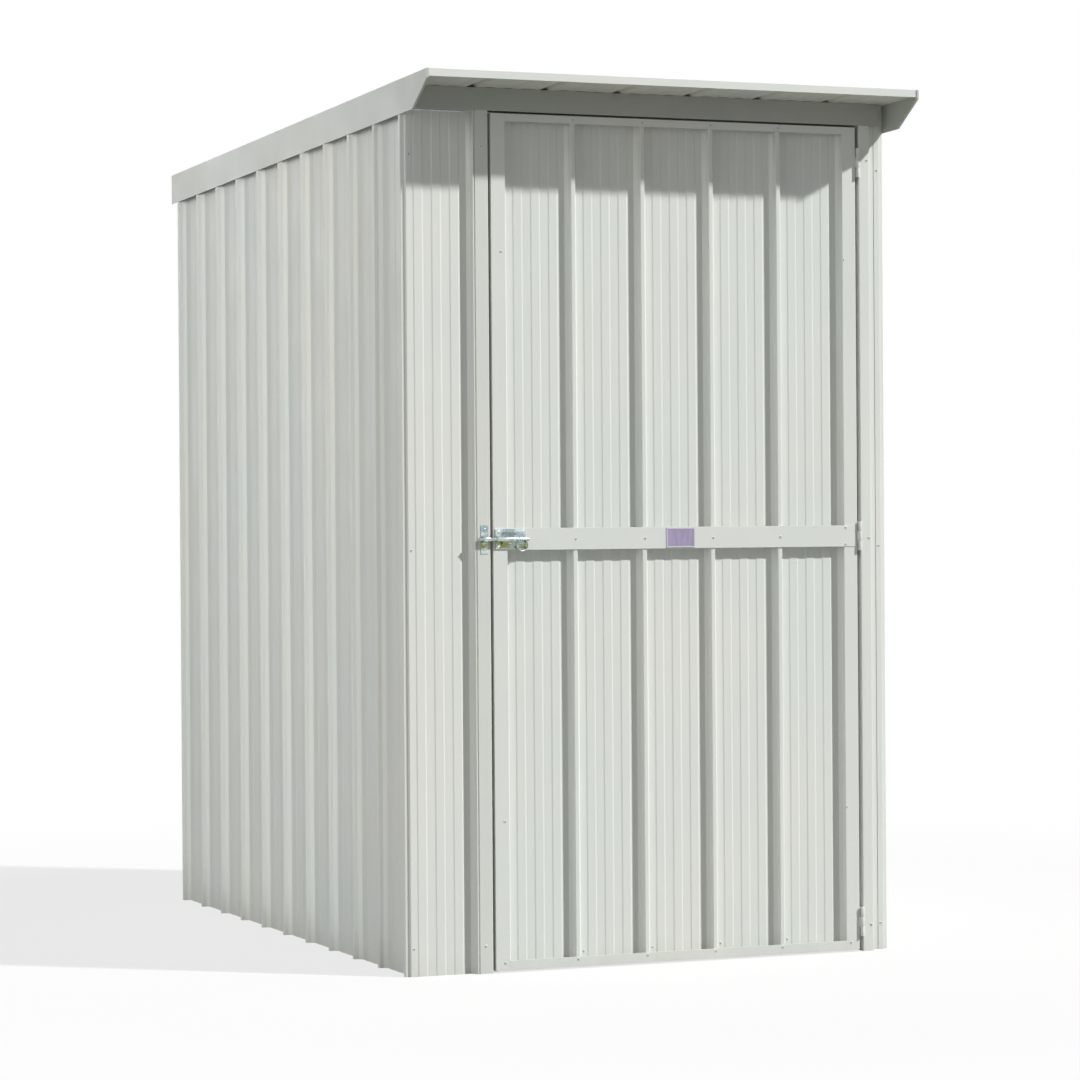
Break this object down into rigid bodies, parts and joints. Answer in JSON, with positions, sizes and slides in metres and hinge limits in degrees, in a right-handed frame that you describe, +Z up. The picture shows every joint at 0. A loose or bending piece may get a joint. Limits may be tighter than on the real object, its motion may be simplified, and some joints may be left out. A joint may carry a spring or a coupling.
{
  "type": "metal tool shed",
  "caption": "Narrow lean-to tool shed of ribbed painted sheet steel, with a low sloping roof that overhangs the front and a hinged door held by a pad bolt.",
  "frame": {"origin": "on the ground under the middle of the roof's outline", "axes": "+Z up, -Y out of the front where the door is, +X to the right as seen from the front"},
  "size_m": [1.177, 1.912, 1.9454],
  "materials": {
    "wall_paint": "satin",
    "trim_paint": "satin",
    "header_paint": "satin",
    "frame_zinc": "galvanised",
    "hardware_zinc": "yellow-green passivated zinc",
    "blank_tone": "matt"
  },
  "bodies": {
    "shed": {"left_wall": "wall_paint", "right_wall": "wall_paint", "back_wall": "wall_paint", "front_left_panel": "wall_paint", "front_right_panel": "wall_paint", "door_header": "header_paint", "latch_post": "frame_zinc", "hinge_post": "frame_zinc", "front_left_post": "frame_zinc", "front_right_post": "frame_zinc", "back_left_post": "frame_zinc", "back_right_post": "frame_zinc", "left_base_rail": "frame_zinc", "right_base_rail": "frame_zinc", "back_base_rail": "frame_zinc", "front_base_rail": "frame_zinc", "left_girt": "frame_zinc", "right_girt": "frame_zinc", "back_girt": "frame_zinc", "left_top_rail": "frame_zinc", "right_top_rail": "frame_zinc", "back_top_rail": "frame_zinc", "roof_purlin": "frame_zinc", "roof_sheet": "wall_paint", "roof_front_cap": "trim_paint", "left_fascia": "trim_paint", "right_fascia": "trim_paint", "back_flashing": "trim_paint", "frame_leaf_low": "trim_paint", "frame_leaf_mid": "trim_paint", "frame_leaf_high": "trim_paint", "bolt_keeper": "hardware_zinc"},
    "door": {"door_sheet": "wall_paint", "door_latch_stile": "trim_paint", "door_hinge_stile": "trim_paint", "door_top_rail": "trim_paint", "door_mid_rail": "trim_paint", "door_bottom_rail": "trim_paint", "door_leaf_low": "trim_paint", "door_leaf_mid": "trim_paint", "door_leaf_high": "trim_paint", "bolt_plate": "hardware_zinc", "blank_plate": "blank_tone"},
    "bolt": {"bolt_rod": "hardware_zinc"}
  },
  "joints": [
    {"name": "door_hinge", "type": "hinge", "parent": "shed", "child": "door", "pos_m": [0.5098, -0.811, 0.946], "axis": [0, 0, 1], "range_deg": [0, 120]},
    {"name": "bolt_slide", "type": "slide", "parent": "door", "child": "bolt", "axis": [1, 0, 0], "range_m": [0, 0.042]}
  ]
}
